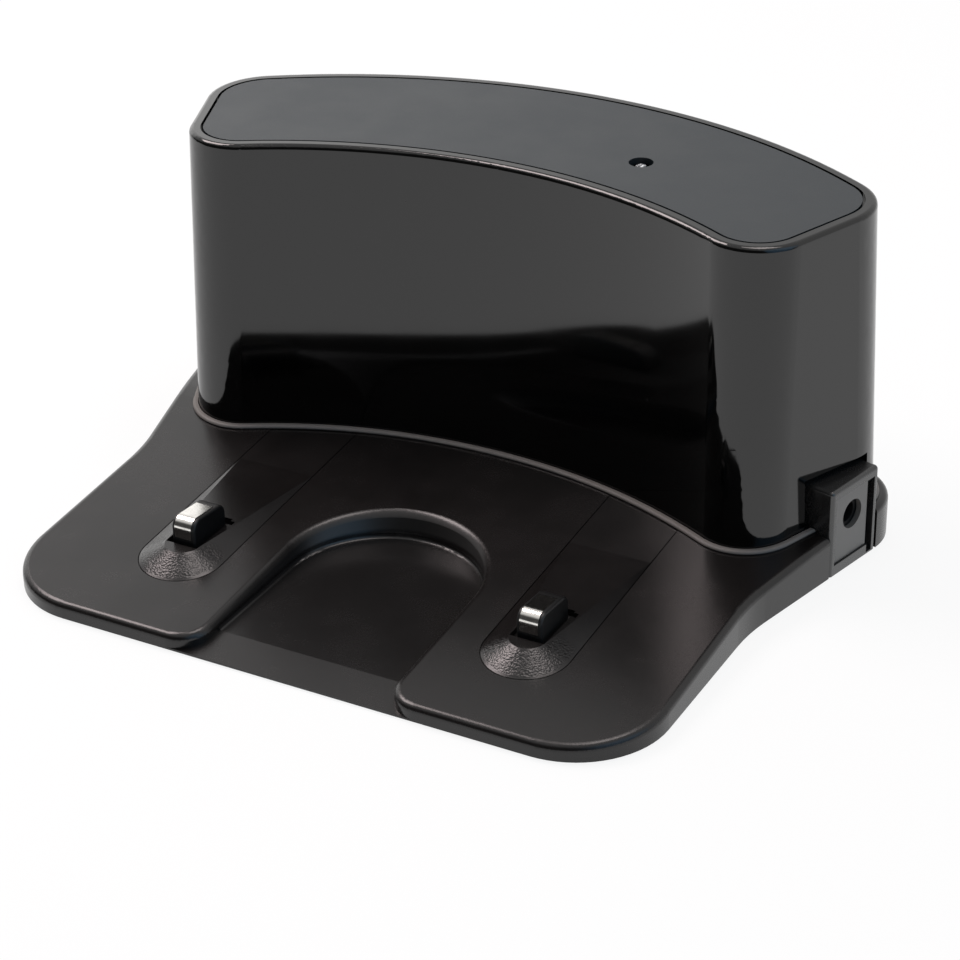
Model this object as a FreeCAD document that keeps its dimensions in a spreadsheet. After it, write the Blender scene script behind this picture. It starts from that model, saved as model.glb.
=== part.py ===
import FreeCAD, Part
import math
import os
import re
from types import SimpleNamespace

import Sketcher
from FreeCAD import Placement, Rotation, Vector

# Charging dock for a robot vacuum: a flat sloped base with two sprung charging contacts,
# and a hollow tower with a concave front behind it.
# Millimetres, +Z up, the front faces -Y. The origin lies on the floor under the middle of the dock.
# In the sizes and formulas, y is measured from the front edge of the base.

SIZES = [
    # Base outline
    ("base_front_width", 194.0, "width of the base between its straight sides"),
    ("base_front_radius", 26.0, "front corners in plan"),
    ("flare_start", 76.0, "where the sides start to flare"),
    ("flare_radius", 60.0, "blend between straight side and flare"),
    ("base_rear_radius", 18.0, "rear corners in plan"),
    ("base_back_radius", 178.3, "back edge in plan"),
    ("back_ledge", 4.4, "base behind the tower"),
    ("side_ledge", 5.6, "base beside the tower"),
    # Base section
    ("base_front_height", 5.0, "top of the base at its front edge"),
    ("base_slope", 0.075, "rise of the base's top per length"),
    ("rise_ahead", 10.0, "base's top levels off ahead of tower_front"),
    ("rise_blend", 150.0, "rounding where it levels off"),
    ("base_lift", 0.5, "gap between floor and base shell"),
    ("base_wall", 2.2, "side walls of the base"),
    ("base_skin", 2.2, "top skin of the base"),
    ("base_edge_radius", 2.0, "rounding of the base's top edge"),
    # Recess for the front wheel
    ("recess_width", 57.0, "between the recess walls"),
    ("recess_centre", 48.5, "centre of the recess arc"),
    ("recess_floor", 2.2, "level of the recess floor"),
    ("recess_foot_radius", 1.2, "rounding between wall and floor"),
    ("mouth_radius", 9.0, "rounded front corners of the recess"),
    ("ramp_length", 12.0, "ramp at the front of the recess"),
    ("ramp_front", 1.1, "level of the ramp at the front edge"),
    # Tower outline
    ("tower_height", 100.0, "top of the rim"),
    ("tower_front", 120.0, "middle of the front at the top"),
    ("tower_depth", 60.2, "front to back at the middle of the top"),
    ("tower_lean", 6.8, "how far the middle of the front leans back"),
    ("tower_top_radius", 147.0, "hollow of the front at the top"),
    ("tower_foot_radius", 172.0, "hollow of the front at the foot"),
    ("tower_back_radius", 173.0, "bulge of the back"),
    ("tower_half_width", 98.3, "end face from the middle at the top, level with tower_front"),
    ("tower_end_angle", 20.8, "turn of the end faces at the top"),
    ("tower_foot_half_width", 102.0, "end face from the middle at the foot, level with tower_front"),
    ("tower_foot_end_angle", 23.2, "turn of the end faces at the foot"),
    ("tower_front_corner", 15.6, "front corners in plan"),
    ("tower_back_corner", 18.5, "back corners in plan at the top"),
    ("tower_foot_corner", 15.0, "back corners in plan at the foot"),
    ("tower_wall", 2.2, "walls of the tower"),
    ("tower_edge_radius", 1.4, "rounding of the rim"),
    # Bead at the foot of the tower
    ("foot_clearance", 0.2, "between tower and bead"),
    ("bead_width", 1.6, "width of the bead"),
    ("bead_height", 1.1, "height of the bead above the base"),
    ("bead_radius", 0.9, "rounding of the bead"),
    # Top plate and lamp
    ("rim_width", 3.2, "rim around the top plate"),
    ("rim_gap", 0.8, "groove between rim and top plate"),
    ("ledge_width", 2.4, "ledge under the top plate"),
    ("ledge_thickness", 2.0, "thickness of the ledge"),
    ("top_thickness", 2.0, "thickness of the top plate"),
    ("top_drop", 0.05, "top plate below the rim"),
    ("lamp_side", 34.4, "lamp from the middle"),
    ("lamp_back", 19.1, "lamp behind tower_front"),
    ("lamp_hole", 6.9, "hole over the lamp"),
    ("lamp_diameter", 3.3, "lamp"),
    ("lamp_depth", 0.8, "lamp below the top plate's face"),
    ("lamp_length", 5.4, "lamp above its board"),
    ("lamp_board_length", 18.0, "lamp board"),
    ("lamp_board_width", 9.0, "lamp board"),
    # Contacts
    ("contact_pitch", 107.0, "between the two contacts"),
    ("contact_y", 41.5, "middle of the contacts"),
    ("contact_width", 7.5, "carrier"),
    ("contact_length", 15.5, "carrier"),
    ("contact_top", 18.2, "highest point of the carrier"),
    ("contact_fall", 1.4, "fall of its top to the back"),
    ("contact_front_radius", 3.0, "rounding at the front"),
    ("contact_back_radius", 3.2, "rounding at the back"),
    ("contact_side_radius", 0.7, "rounding of its sides"),
    ("flange_margin", 1.9, "flange beyond the carrier"),
    ("flange_thickness", 1.2, "flange under the cover"),
    ("flange_gap", 0.3, "flange below the cover"),
    ("strip_width", 5.4, "contact strip"),
    ("strip_thickness", 0.5, "contact strip"),
    ("strip_proud", 0.25, "strip above the carrier"),
    ("strip_rise", 1.3, "end of the strip above the nose"),
    ("strip_reach", 11.0, "strip over the carrier's top"),
    ("spring_radius", 2.1, "middle of the spring's wire"),
    ("spring_wire", 0.6, "thickness of the spring's wire"),
    ("spring_turns", 6.0, "turns of the spring"),
    ("spring_bore", 2.9, "radius of the carrier's bore"),
    ("spring_roof", 4.0, "carrier above the bore"),
    # Contact covers
    ("cover_width", 24.4, "tongue"),
    ("cover_tip", 20.8, "front of the tongue"),
    ("cover_gap", 0.3, "seam around the tongue"),
    ("cover_lip", 1.1, "thickness of the tongue at its edge"),
    ("cover_seat", 2.2, "ledge under the tongue's edge"),
    ("cover_skin", 1.6, "thickness over the flange"),
    ("nose_level", 11.1, "flat top of the raised nose"),
    ("nose_angle", 63.0, "bevel of the nose from upright"),
    ("slot_width", 10.2, "slot around the carrier"),
    ("slot_length", 18.0, "slot around the carrier"),
    ("notch_width", 1.5, "notch at the slot's back corner"),
    ("notch_length", 2.0, "notch at the slot's back corner"),
    # Power socket
    ("jack_ahead", 8.5, "housing starts ahead of tower_front"),
    ("jack_width", 21.7, "housing along the side"),
    ("jack_depth", 16.0, "housing into the dock"),
    ("jack_top", 27.0, "top of the housing"),
    ("jack_edge", 1.2, "rounding of the housing"),
    ("jack_bar", 2.0, "frame beside the plate"),
    ("jack_lintel", 2.8, "frame above the plate"),
    ("jack_sill", 3.5, "bottom of the plate"),
    ("jack_slot", 2.4, "slot beside the plate"),
    ("jack_slot_depth", 6.0, "depth of the slot"),
    ("jack_skirt", 2.4, "housing outside the base plate"),
    ("jack_clearance", 0.25, "around the housing and the socket"),
    ("jack_side_gap", 2.4, "tower opening ahead of the housing"),
    ("jack_top_gap", 2.2, "tower opening above the housing"),
    ("plate_recess", 0.6, "plate behind the frame's face"),
    ("plate_thickness", 1.6, "jack plate"),
    ("plug_hole", 8.6, "hole for the plug"),
    ("plug_level", 16.3, "middle of the hole"),
    ("plug_side", 8.4, "middle of the hole from the plate's front edge"),
    ("socket_width", 9.4, "socket body"),
    ("socket_height", 11.4, "socket body"),
    ("socket_length", 12.0, "socket body"),
    ("socket_bore", 6.2, "bore of the socket"),
    ("socket_depth", 9.5, "depth of the bore"),
    ("pin_diameter", 2.0, "centre pin"),
    ("pin_length", 8.0, "centre pin"),
    # Bottom plate, feet and screws
    ("bottom_gap", 0.3, "around the bottom plate"),
    ("bottom_lift", 0.6, "bottom plate above the floor"),
    ("bottom_thickness", 1.4, "bottom plate"),
    ("foot_radius", 6.0, "rubber feet"),
    ("foot_sink", 0.6, "feet let into the bottom plate"),
    ("fit_gap", 0.15, "around screws and feet"),
    ("boss_radius", 3.6, "screw bosses"),
    ("screw_radius", 1.3, "screw shanks"),
    ("screw_head", 2.5, "screw heads"),
    ("screw_head_height", 1.3, "screw heads"),
    ("screw_grip", 6.0, "shank past the joint"),
    ("base_screw_grip", 2.6, "shank past the bottom plate"),
    ("tower_screw_side", 60.0, "tower screws from the middle"),
    ("tower_boss_height", 22.0, "tower bosses"),
    # Main board and infrared lamps
    ("board_width", 110.0, "main board"),
    ("board_height", 52.0, "main board"),
    ("board_thickness", 1.6, "boards"),
    ("board_level", 26.0, "bottom of the main board"),
    ("board_back", 20.4, "front of the main board behind tower_front"),
    ("post_side", 45.0, "board posts from the middle"),
    ("post_width", 8.0, "board posts"),
    ("post_depth", 7.0, "board posts"),
    ("window_half", 40.0, "half of the opening for the leads"),
    ("window_front", 2.4, "opening behind tower_front"),
    ("window_length", 15.0, "opening for the leads"),
    ("ir_level", 62.0, "infrared lamps"),
    ("ir_pitch", 15.0, "between the infrared lamps"),
    ("ir_diameter", 5.0, "infrared lamps"),
    ("ir_length", 8.6, "infrared lamps"),
    ("holder_length", 46.0, "holder of the infrared lamps"),
    ("holder_height", 14.0, "holder of the infrared lamps"),
    ("holder_depth", 6.5, "holder of the infrared lamps"),
    ("lead_radius", 0.8, "wires"),
    ("lead_straight", 29.0, "straight run of a wire behind its contact"),
    ("lead_run", 9.0, "straight run of a wire behind the jack"),
    ("lead_drop", 7.0, "straight run of a wire under the lamp board"),
    ("lead_bow", 5.0, "wires bowed out sideways"),
    ("lead_step", 1.0, "wires bowed out a little"),
    ("lead_rise", 3.0, "wires above the base's top"),
    ("lead_solder", 7.0, "wires' ends above the main board's lower edge"),
    ("lead_inset", 4.0, "jack's wire inside the main board's end"),
    ("lead_hang", 10.0, "lamp's wire below the main board's top"),
    ("lead_aside", 2.6, "lamp's wire ahead of the lamp"),
]

doc = FreeCAD.newDocument("charging_dock")
sheet = doc.addObject("Spreadsheet::Sheet", "sizes")
for row, (alias, number, meaning) in enumerate(SIZES, start=1):
    sheet.set(f"A{row}", meaning)
    sheet.set(f"B{row}", str(number))
    sheet.setAlias(f"B{row}", alias)
doc.recompute()
v = SimpleNamespace(**{alias: float(sheet.get(alias)) for alias, number, meaning in SIZES})

# Places that follow from the sizes, as formulas
DEPTH = "(tower_front + tower_depth + back_ledge)"
FLARE = "((tower_foot_half_width + side_ledge - base_front_width / 2) / (tower_front - flare_start))"
JACK_Y = "(tower_front - jack_ahead)"
JACK_X = f"(base_front_width / 2 + {FLARE} * ({JACK_Y} - flare_start))"
BOTTOM_TOP = "(bottom_lift + bottom_thickness)"
TOP_UNDER = "(tower_height - top_drop - top_thickness)"
LAMP_BOARD_TOP = "(tower_height - top_drop - lamp_depth - lamp_length)"
BOARD_Y = "(tower_front + board_back)"
FUNCTIONS = {"atan", "sqrt"}

# The same places as numbers
depth = v.tower_front + v.tower_depth + v.back_ledge
back_apex = v.tower_front + v.tower_depth
flare = (v.tower_foot_half_width + v.side_ledge - v.base_front_width / 2) / (v.tower_front - v.flare_start)
flare_angle = math.atan(flare)
slope_angle = math.atan(v.base_slope)
jack_y = v.tower_front - v.jack_ahead
jack_x = v.base_front_width / 2 + flare * (jack_y - v.flare_start)
bottom_top = v.bottom_lift + v.bottom_thickness
board_y = v.tower_front + v.board_back
cover_under = v.nose_level - v.cover_skin
flange_top = cover_under - v.flange_gap
flange_bottom = flange_top - v.flange_thickness
terminal_thickness = v.strip_thickness
sky = v.tower_height + 20.0

nodes = []


def bind(item, prop, formula):
    """Tie a property to a formula in which the words are sizes."""
    def cell(hit):
        word = hit.group()
        return word if word in FUNCTIONS else "sizes." + word
    item.setExpression(prop, re.sub(r"[a-z_][a-z0-9_]*", cell, formula))


def place(item, x="0", y="0", z="0"):
    """Set an item down at x, y, z, with y measured from the front edge."""
    bind(item, "Placement.Base.x", x)
    bind(item, "Placement.Base.y", f"{y} - {DEPTH} / 2")
    bind(item, "Placement.Base.z", z)


def keep(item, label):
    """Name an item as a piece of the dock."""
    item.Label = label
    nodes.append(item)
    return item


def solid_piece(label, shape, x="0", y="0", kept=True):
    """A piece made from a shape that is laid out around a point, or else from the front edge."""
    item = doc.addObject("Part::Feature", label)
    item.Shape = shape
    place(item, x, y)
    if kept:
        keep(item, label)
    return item


def box(name, length, width, height, x, y, z):
    item = doc.addObject("Part::Box", name)
    bind(item, "Length", length)
    bind(item, "Width", width)
    bind(item, "Height", height)
    place(item, x, y, z)
    return item


def upright(name, radius, height, x, y, z):
    item = doc.addObject("Part::Cylinder", name)
    bind(item, "Radius", radius)
    bind(item, "Height", height)
    place(item, x, y, z)
    return item


def cut(name, base, tool):
    item = doc.addObject("Part::Cut", name)
    item.Base = base
    item.Tool = tool
    return item


def fuse(name, items):
    item = doc.addObject("Part::MultiFuse", name)
    item.Shapes = items
    return item


def new_sketch(body, name, role, lift="0"):
    """A sketch on one of the body's own planes, lifted along the plane's normal."""
    plane = next(item for item in body.Origin.OriginFeatures if item.Role == role)
    sketch = body.newObject("Sketcher::SketchObject", name)
    sketch.AttachmentSupport = [(plane, "")]
    sketch.MapMode = "FlatFace"
    bind(sketch, "AttachmentOffset.Base.z", lift)
    return sketch


def hold(sketch, kind, first, first_end, formula):
    """Hold the end of a sketch line at a distance from the sketch's origin."""
    axis = {"DistanceX": -2, "DistanceY": -1}[kind]
    if formula == "0":
        sketch.addConstraint(Sketcher.Constraint("PointOnObject", first, first_end, axis))
        return
    now = sketch.getPoint(first, first_end)
    value = now.x if kind == "DistanceX" else now.y
    index = sketch.addConstraint(Sketcher.Constraint(kind, -1, 1, first, first_end, value))
    name = f"{kind}_{first}_{first_end}"
    sketch.renameConstraint(index, name)
    bind(sketch, f"Constraints.{name}", formula)


def polygon(body, name, role, points, lift="0"):
    """A closed outline through points, each given by two formulas."""
    sketch = new_sketch(body, name, role, lift)
    count = len(points)
    turn = 2 * math.pi / count
    rough = [Vector(math.cos(turn * i + 0.4), math.sin(turn * i + 0.4), 0) for i in range(count)]
    for i in range(count):
        sketch.addGeometry(Part.LineSegment(rough[i], rough[(i + 1) % count]))
    for i in range(count):
        sketch.addConstraint(Sketcher.Constraint("Coincident", i, 2, (i + 1) % count, 1))
    for i, (x, y) in enumerate(points):
        hold(sketch, "DistanceX", i, 1, x)
        hold(sketch, "DistanceY", i, 1, y)
    return sketch


def rectangle(body, name, role, x_from, x_to, y_from, y_to, lift="0"):
    corners = [(x_from, y_from), (x_to, y_from), (x_to, y_to), (x_from, y_to)]
    return polygon(body, name, role, corners, lift)


def disc(body, name, role, x, y, radius, lift="0"):
    """A round outline."""
    sketch = new_sketch(body, name, role, lift)
    sketch.addGeometry(Part.Circle(Vector(1, 1, 0), Vector(0, 0, 1), 1))
    hold(sketch, "DistanceX", 0, 3, x)
    hold(sketch, "DistanceY", 0, 3, y)
    index = sketch.addConstraint(Sketcher.Constraint("Radius", 0, 1.0))
    sketch.renameConstraint(index, "radius")
    bind(sketch, "Constraints.radius", radius)
    return sketch


def pad(body, name, sketch, length, back=False):
    feature = body.newObject("PartDesign::Pad", name)
    feature.Profile = sketch
    feature.Reversed = back
    bind(feature, "Length", length)
    return feature


def pocket(body, name, sketch, length, back=False):
    feature = body.newObject("PartDesign::Pocket", name)
    feature.Profile = sketch
    feature.Reversed = back
    bind(feature, "Length", length)
    return feature


# Plan outlines

def corner(point, along, inward, middle, reach, radius, circle):
    """Arc that rounds an end line into a circle whose middle lies on the centre line.

    Returns its points on the line, halfway and on the circle."""
    start = point + inward * radius - middle
    half = start.dot(along)
    travel = -half + math.sqrt(half * half - start.dot(start) + reach * reach)
    centre = point + inward * radius + along * travel
    on_line = centre - inward * radius
    on_circle = middle + (centre - middle).normalize() * circle
    halfway = (on_line - centre) + (on_circle - centre)
    return on_line, centre + halfway.normalize() * radius, on_circle


def mirrored(point):
    return Vector(-point.x, point.y, point.z)


def closed_wire(right, level):
    """A wire from the right half of a symmetric outline.

    The half is a chain of steps from the middle of the front to the middle of the back. A step is
    one point for a line, or two points, halfway and end, for an arc."""
    here = right[0][0]
    halves = []
    for step in right[1:]:
        halves.append((here, step))
        here = step[-1]
    raise_by = Vector(0, 0, level)

    def edge(a, step, flip):
        points = [a, *step]
        if flip:
            points = [mirrored(point) for point in reversed(points)]
        points = [point + raise_by for point in points]
        if len(points) == 2:
            return Part.LineSegment(*points).toShape()
        return Part.Arc(*points).toShape()

    edges = [edge(a, step, False) for a, step in halves]
    edges += [edge(a, step, True) for a, step in reversed(halves)]
    return Part.Wire(edges)


def base_wire(inset, level):
    """Outline of the base, moved inwards by inset."""
    half = v.base_front_width / 2 - inset
    front_radius = v.base_front_radius - inset
    knee_radius = v.flare_radius + inset
    knee = Vector(half, v.flare_start + inset * math.tan(flare_angle / 2), 0)
    reach = knee_radius * math.tan(flare_angle / 2)
    along = Vector(math.sin(flare_angle), math.cos(flare_angle), 0)
    inward = Vector(-along.y, along.x, 0)
    knee_in = knee - Vector(0, reach, 0)
    knee_out = knee + along * reach
    knee_centre = knee_in + Vector(knee_radius, 0, 0)
    knee_mid = knee_centre + (knee - knee_centre).normalize() * knee_radius
    circle = v.base_back_radius - inset
    middle = Vector(0, depth - v.base_back_radius, 0)
    rear_radius = v.base_rear_radius - inset
    rear = corner(knee, along, inward, middle, circle - rear_radius, rear_radius, circle)
    turn = Vector(half - front_radius, inset + front_radius, 0)
    nose = turn + Vector(1, -1, 0).normalize() * front_radius
    return closed_wire([
        [Vector(0, inset, 0)],
        [Vector(turn.x, inset, 0)],
        [nose, Vector(half, turn.y, 0)],
        [knee_in],
        [knee_mid, knee_out],
        [rear[0]],
        [rear[1], rear[2]],
        [arc_point(middle, rear[2], circle), middle + Vector(0, circle, 0)],
    ], level)


def arc_point(middle, end, circle):
    """Point halfway along an arc between its end and the centre line behind its middle."""
    direction = (end - middle).normalize() + Vector(0, 1, 0)
    return middle + direction.normalize() * circle


TOWER_FOOT = SimpleNamespace(
    apex=v.tower_front - v.tower_lean, radius=v.tower_foot_radius,
    half_width=v.tower_foot_half_width, end_angle=v.tower_foot_end_angle, back_corner=v.tower_foot_corner,
)
TOWER_HEAD = SimpleNamespace(
    apex=v.tower_front, radius=v.tower_top_radius,
    half_width=v.tower_half_width, end_angle=v.tower_end_angle, back_corner=v.tower_back_corner,
)


def tower_wire(section, inset, level):
    """Outline of the tower at its foot or head, moved inwards by inset."""
    angle = math.radians(section.end_angle)
    along = Vector(math.sin(angle), math.cos(angle), 0)
    inward = Vector(-along.y, along.x, 0)
    point = Vector(section.half_width, v.tower_front, 0) + inward * inset
    front_circle = section.radius + inset
    front_middle = Vector(0, section.apex - section.radius, 0)
    front_radius = v.tower_front_corner - inset
    front = corner(point, along, inward, front_middle, front_circle + front_radius, front_radius, front_circle)
    back_circle = v.tower_back_radius - inset
    back_middle = Vector(0, back_apex - v.tower_back_radius, 0)
    back_radius = section.back_corner - inset
    back = corner(point, along, inward, back_middle, back_circle - back_radius, back_radius, back_circle)
    return closed_wire([
        [front_middle + Vector(0, front_circle, 0)],
        [arc_point(front_middle, front[2], front_circle), front[2]],
        [front[1], front[0]],
        [back[0]],
        [back[1], back[2]],
        [arc_point(back_middle, back[2], back_circle), back_middle + Vector(0, back_circle, 0)],
    ], level)


def recess_wire(grow, level):
    """Outline of the recess, open past the front edge, moved outwards by grow."""
    half = v.recess_width / 2 + grow
    mouth = v.mouth_radius - grow
    centre = Vector(0, v.recess_centre, 0)
    bend = Vector(half + mouth, v.mouth_radius, 0)
    lip = bend + Vector(-1, -1, 0).normalize() * mouth
    outside = -v.mouth_radius
    return closed_wire([
        [Vector(0, outside, 0)],
        [Vector(half + mouth, outside, 0)],
        [Vector(half + mouth, grow, 0)],
        [lip, Vector(half, v.mouth_radius, 0)],
        [Vector(half, v.recess_centre, 0)],
        [centre + Vector(1, 1, 0).normalize() * half, centre + Vector(0, half, 0)],
    ], level)


def prism(wire, height):
    return Part.Face(wire).extrude(Vector(0, 0, height))


# Solids that several pieces share

foot_level = v.base_front_height + v.base_slope * v.flare_start


rise_end = v.tower_front - v.rise_ahead
rise_half = v.rise_blend * math.tan(slope_angle / 2)
rise_start = rise_end - rise_half * math.cos(slope_angle)
level_start = rise_end + rise_half
level_top = v.base_front_height + v.base_slope * rise_end


def slope_at(y):
    """Level of the base's top, which rises from the front edge and levels off under the tower."""
    if y <= rise_start:
        return v.base_front_height + v.base_slope * y
    if y >= level_start:
        return level_top
    return level_top - v.rise_blend + math.sqrt(v.rise_blend ** 2 - (level_start - y) ** 2)


def below_slope(rise):
    """Everything below the base's sloped top, raised by rise."""
    side = v.base_front_width
    ahead = -2 * v.mouth_radius
    behind = depth + 2 * v.mouth_radius
    first, start, middle, end, last = (
        Vector(-side, y, slope_at(y) + rise)
        for y in (ahead, rise_start, rise_end, level_start, behind)
    )
    outline = [
        Part.makeLine(first, start),
        Part.Arc(start, middle, end).toShape(),
        Part.makeLine(end, last),
        Part.makePolygon([last, Vector(-side, behind, -sky), Vector(-side, ahead, -sky), first]),
    ]
    return Part.Face(Part.Wire(outline)).extrude(Vector(2 * side, 0, 0))


def tower_foot(grow):
    """Upright solid over the tower's foot, moved outwards by grow."""
    wire = tower_wire(TOWER_FOOT, -grow, -sky)
    return prism(wire, 3 * sky)


def tower_body(inset, top):
    """The tower's leaning solid, moved inwards by inset, up to a level."""
    foot = tower_wire(TOWER_FOOT, inset, foot_level)
    head = tower_wire(TOWER_HEAD, inset, v.tower_height)
    whole = Part.makeLoft([foot, head], True, True)
    if top >= v.tower_height:
        return whole
    return whole.common(prism(base_wire(-v.mouth_radius, -sky), sky + top))


def side_frame():
    """Frame of the jack: +X out of the dock, +Y along its flared side."""
    return Placement(Vector(jack_x, jack_y, 0), Rotation(Vector(0, 0, -1), math.degrees(flare_angle)))


def side_box(x_from, x_to, y_from, y_to, z_from, z_to):
    shape = Part.makeBox(x_to - x_from, y_to - y_from, z_to - z_from, Vector(x_from, y_from, z_from))
    shape.Placement = side_frame()
    return shape


def tongue_prism(side, grow, z_from, z_to):
    """Upright prism over a contact cover in the frame of the base's sloped top."""
    half = v.cover_width / 2 + grow
    centre = v.cover_tip + v.cover_width / 2
    far = v.tower_front
    wire = Part.Wire([
        Part.Arc(Vector(-half, centre, z_from), Vector(0, centre - half, z_from), Vector(half, centre, z_from)).toShape(),
        Part.LineSegment(Vector(half, centre, z_from), Vector(half, far, z_from)).toShape(),
        Part.LineSegment(Vector(half, far, z_from), Vector(-half, far, z_from)).toShape(),
        Part.LineSegment(Vector(-half, far, z_from), Vector(-half, centre, z_from)).toShape(),
    ])
    shape = prism(wire, z_to - z_from)
    shape.Placement = slope_frame(side)
    return shape


def slope_frame(side):
    """Frame on the base's top under one contact: +Y up the slope, +Z square to it."""
    spot = Vector(side * v.contact_pitch / 2, 0, v.base_front_height)
    return Placement(spot, Rotation(Vector(1, 0, 0), math.degrees(slope_angle)))


def pillar(x, y, z_from, z_to, radius):
    return Part.makeCylinder(radius, z_to - z_from, Vector(x, y, z_from))


def edges_on(shape, test):
    """Edges whose ends and middle all pass a test."""
    found = []
    for edge in shape.Edges:
        first, last = edge.ParameterRange
        if all(test(edge.valueAt(first + share * (last - first))) for share in (0, 0.5, 1)):
            found.append(edge)
    return found


def on_level(level):
    return lambda point: abs(point.z - level) < 1e-4


def edges_around(shape, rise):
    """Edges around a top that lies rise above the base's, without those across it where it levels off."""
    def outer(point):
        across = any(abs(point.y - y) < 1e-4 for y in (rise_start, level_start))
        return abs(point.z - slope_at(point.y) - rise) < 1e-4 and not across
    return edges_on(shape, outer)


SIDES = (("left", -1), ("right", 1))
half_front = v.base_front_width / 2
BASE_SCREWS = [
    (sign * x, y)
    for sign in (-1, 1)
    for x, y in (
        (half_front - v.base_front_radius / 2, v.base_front_radius * 1.5),
        (half_front - v.boss_radius - v.base_wall, v.flare_start + v.boss_radius),
        (half_front - v.base_front_radius, back_apex - v.tower_back_corner),
    )
]
FEET = [
    (sign * x, y)
    for sign in (-1, 1)
    for x, y in (
        (half_front - v.base_front_radius, v.base_front_radius / 2 + v.foot_radius),
        (half_front - v.foot_radius, v.tower_front),
    )
] + [(0, back_apex - v.tower_back_corner)]


def tower_screw_spots():
    """Tower bosses stand against the inside of the tower's front and back walls."""
    x = v.tower_screw_side
    front_middle = v.tower_front - v.tower_lean - v.tower_foot_radius
    front = front_middle + math.sqrt(v.tower_foot_radius ** 2 - x * x)
    back_middle = back_apex - v.tower_back_radius
    back = back_middle + math.sqrt(v.tower_back_radius ** 2 - x * x)
    inside = v.tower_wall + v.boss_radius
    return [(sign * x, y) for sign in (-1, 1) for y in (front + inside, back - inside)]


TOWER_SCREWS = tower_screw_spots()


def seat_level(y):
    """Flat seat of a tower screw's head under the base's top."""
    return slope_at(y - v.boss_radius) - v.base_skin - v.fit_gap


# Base shell

def across(profile):
    """A solid across the dock from a side view, given as pairs of y and level."""
    half = v.base_front_width
    points = [Vector(-half, y, z) for y, z in profile]
    return Part.Face(Part.makePolygon(points + points[:1])).extrude(Vector(2 * half, 0, 0))


over_floor = across([
    (v.ramp_length, v.recess_floor), (depth, v.recess_floor), (depth, sky), (v.ramp_length, sky),
])
pool = prism(recess_wire(0, 0), sky).common(over_floor)
pool_foot = [edge for edge in edges_on(pool, on_level(v.recess_floor)) if edge.BoundBox.YLength > 1e-4]
pool = pool.makeFillet(v.recess_foot_radius, pool_foot)
over_ramp = across([
    (-2 * v.mouth_radius, v.ramp_front), (0, v.ramp_front), (v.ramp_length, v.recess_floor),
    (v.ramp_length, sky), (-2 * v.mouth_radius, sky),
])
ramp = prism(recess_wire(0, 0), sky).common(over_ramp)

base = prism(base_wire(0, v.base_lift), sky).common(below_slope(0))
base = base.cut([pool, ramp]).removeSplitter()
base = base.makeFillet(v.base_edge_radius, edges_around(base, 0))

cavity = prism(base_wire(v.base_wall, -sky), 2 * sky).cut(prism(recess_wire(v.base_wall, -sky), 2 * sky))
base = base.cut(cavity.common(below_slope(-v.base_skin)))

bead_outer = tower_body(-v.foot_clearance - v.bead_width, v.tower_height)
bead = bead_outer.common(below_slope(v.bead_height))
bead = bead.makeFillet(v.bead_radius, edges_around(bead, v.bead_height))
bead = bead.cut(below_slope(-v.base_skin / 2)).cut(tower_body(-v.foot_clearance, v.tower_height))

bosses = []
pilots = []
for x, y in BASE_SCREWS:
    bosses.append(pillar(x, y, bottom_top, slope_at(y), v.boss_radius).common(below_slope(-v.base_skin / 2)))
    pilots.append(pillar(x, y, 0, bottom_top + v.base_screw_grip + v.fit_gap, v.screw_radius + v.fit_gap))
for x, y in TOWER_SCREWS:
    seat = pillar(x, y, seat_level(y), slope_at(y + v.boss_radius), v.boss_radius)
    bosses.append(seat.common(below_slope(-v.base_skin / 2)))
    pilots.append(pillar(x, y, 0, sky, v.screw_radius + v.fit_gap))

post_top = v.board_level + v.board_height - v.post_width / 2
for side in (-1, 1):
    post = Part.makeBox(
        v.post_width, v.post_depth, post_top,
        Vector(side * v.post_side - v.post_width / 2, board_y + v.board_thickness, 0),
    )
    bosses.append(post.cut(below_slope(-v.base_skin / 2)))

BOARD_SCREWS = [
    (side * v.post_side, level)
    for side in (-1, 1)
    for level in (v.board_level + v.post_width / 2, post_top - v.post_width / 2)
]
for x, z in BOARD_SCREWS:
    pilots.append(Part.makeCylinder(
        v.screw_radius + v.fit_gap, v.board_thickness + v.screw_grip,
        Vector(x, board_y, z), Vector(0, 1, 0),
    ))

window = Part.makeBox(
    2 * v.window_half, v.window_length, sky,
    Vector(-v.window_half, v.tower_front + v.window_front, v.bottom_thickness + v.bottom_lift),
)
base = base.cut(window)
for name, side in SIDES:
    foot = tower_foot(v.foot_clearance + v.bead_width)
    base = base.cut(tongue_prism(side, v.cover_gap, -v.cover_lip, sky).cut(foot))
    base = base.cut(tongue_prism(side, -v.cover_seat, -sky, sky).cut(foot).cut(below_slope(-2 * v.base_skin)))
base = base.fuse([bead, *bosses])
base = base.cut(pilots)
base = base.cut(side_box(
    -v.jack_depth - v.jack_clearance, v.mouth_radius,
    -v.jack_clearance, v.jack_width + v.jack_clearance,
    -sky, v.jack_top + v.jack_top_gap,
))
plug_y = v.jack_bar + v.plug_side
socket_back = v.plate_recess + v.plate_thickness + v.jack_clearance + v.socket_length
base = base.cut(side_box(
    -socket_back - v.lead_run, -v.jack_depth,
    plug_y - v.socket_width / 2, plug_y + v.socket_width / 2,
    -sky, v.jack_top,
))
solid_piece("base_shell", base.removeSplitter())

# Bottom plate

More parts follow.
